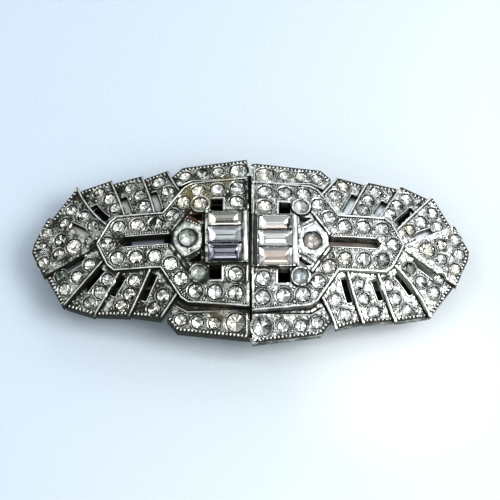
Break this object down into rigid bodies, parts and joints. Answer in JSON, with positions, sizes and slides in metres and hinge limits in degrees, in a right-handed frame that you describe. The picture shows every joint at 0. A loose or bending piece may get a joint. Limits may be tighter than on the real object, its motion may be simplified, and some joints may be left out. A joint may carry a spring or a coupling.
{
  "type": "double dress clip",
  "caption": "Domed oblong brooch of two pierced, stone-set dress clips held side by side on a pin frame, with fanned rays, a raised band and long stones at the seam.",
  "frame": {"origin": "centre of the brooch's outline in X and Y, on the plane that its back rests on", "axes": "+X along the brooch, from one fan's tip to the other; +Y across it, up as worn; +Z out of its face"},
  "size_m": [0.0778, 0.0352, 0.0144],
  "materials": {
    "cast_metal": "worn grey white plating over cast white metal, dark in the hollows",
    "plain_metal": "dull plated sheet and wire",
    "clear_stone": "foil-backed clear cut glass, slightly yellowed",
    "long_stone": "foil-backed clear step-cut glass",
    "dull_stone": "cut glass whose foil has gone grey"
  },
  "bodies": {
    "root": {"left_clip": "cast_metal", "right_clip": "cast_metal", "left_clasp": "plain_metal", "right_clasp": "plain_metal", "pin_frame": "plain_metal", "left_baguette_1": "long_stone", "left_baguette_2": "long_stone", "left_baguette_3": "long_stone", "right_baguette_1": "long_stone", "right_baguette_2": "long_stone", "right_baguette_3": "long_stone", "left_plate_stone": "dull_stone", "right_plate_stone": "dull_stone", "left_collet_stone_upper": "dull_stone", "left_collet_stone_lower": "dull_stone", "right_collet_stone_upper": "dull_stone", "right_collet_stone_lower": "dull_stone", "left_bar_stone_upper": "clear_stone", "left_bar_stone_lower": "clear_stone", "right_bar_stone_upper": "clear_stone", "right_bar_stone_lower": "clear_stone", "left_point_stone": "clear_stone", "right_point_stone": "clear_stone", "left_tip_stone": "clear_stone", "right_tip_stone": "clear_stone", "left_small_stones": "clear_stone", "right_small_stones": "clear_stone"}
  },
  "joints": []
}
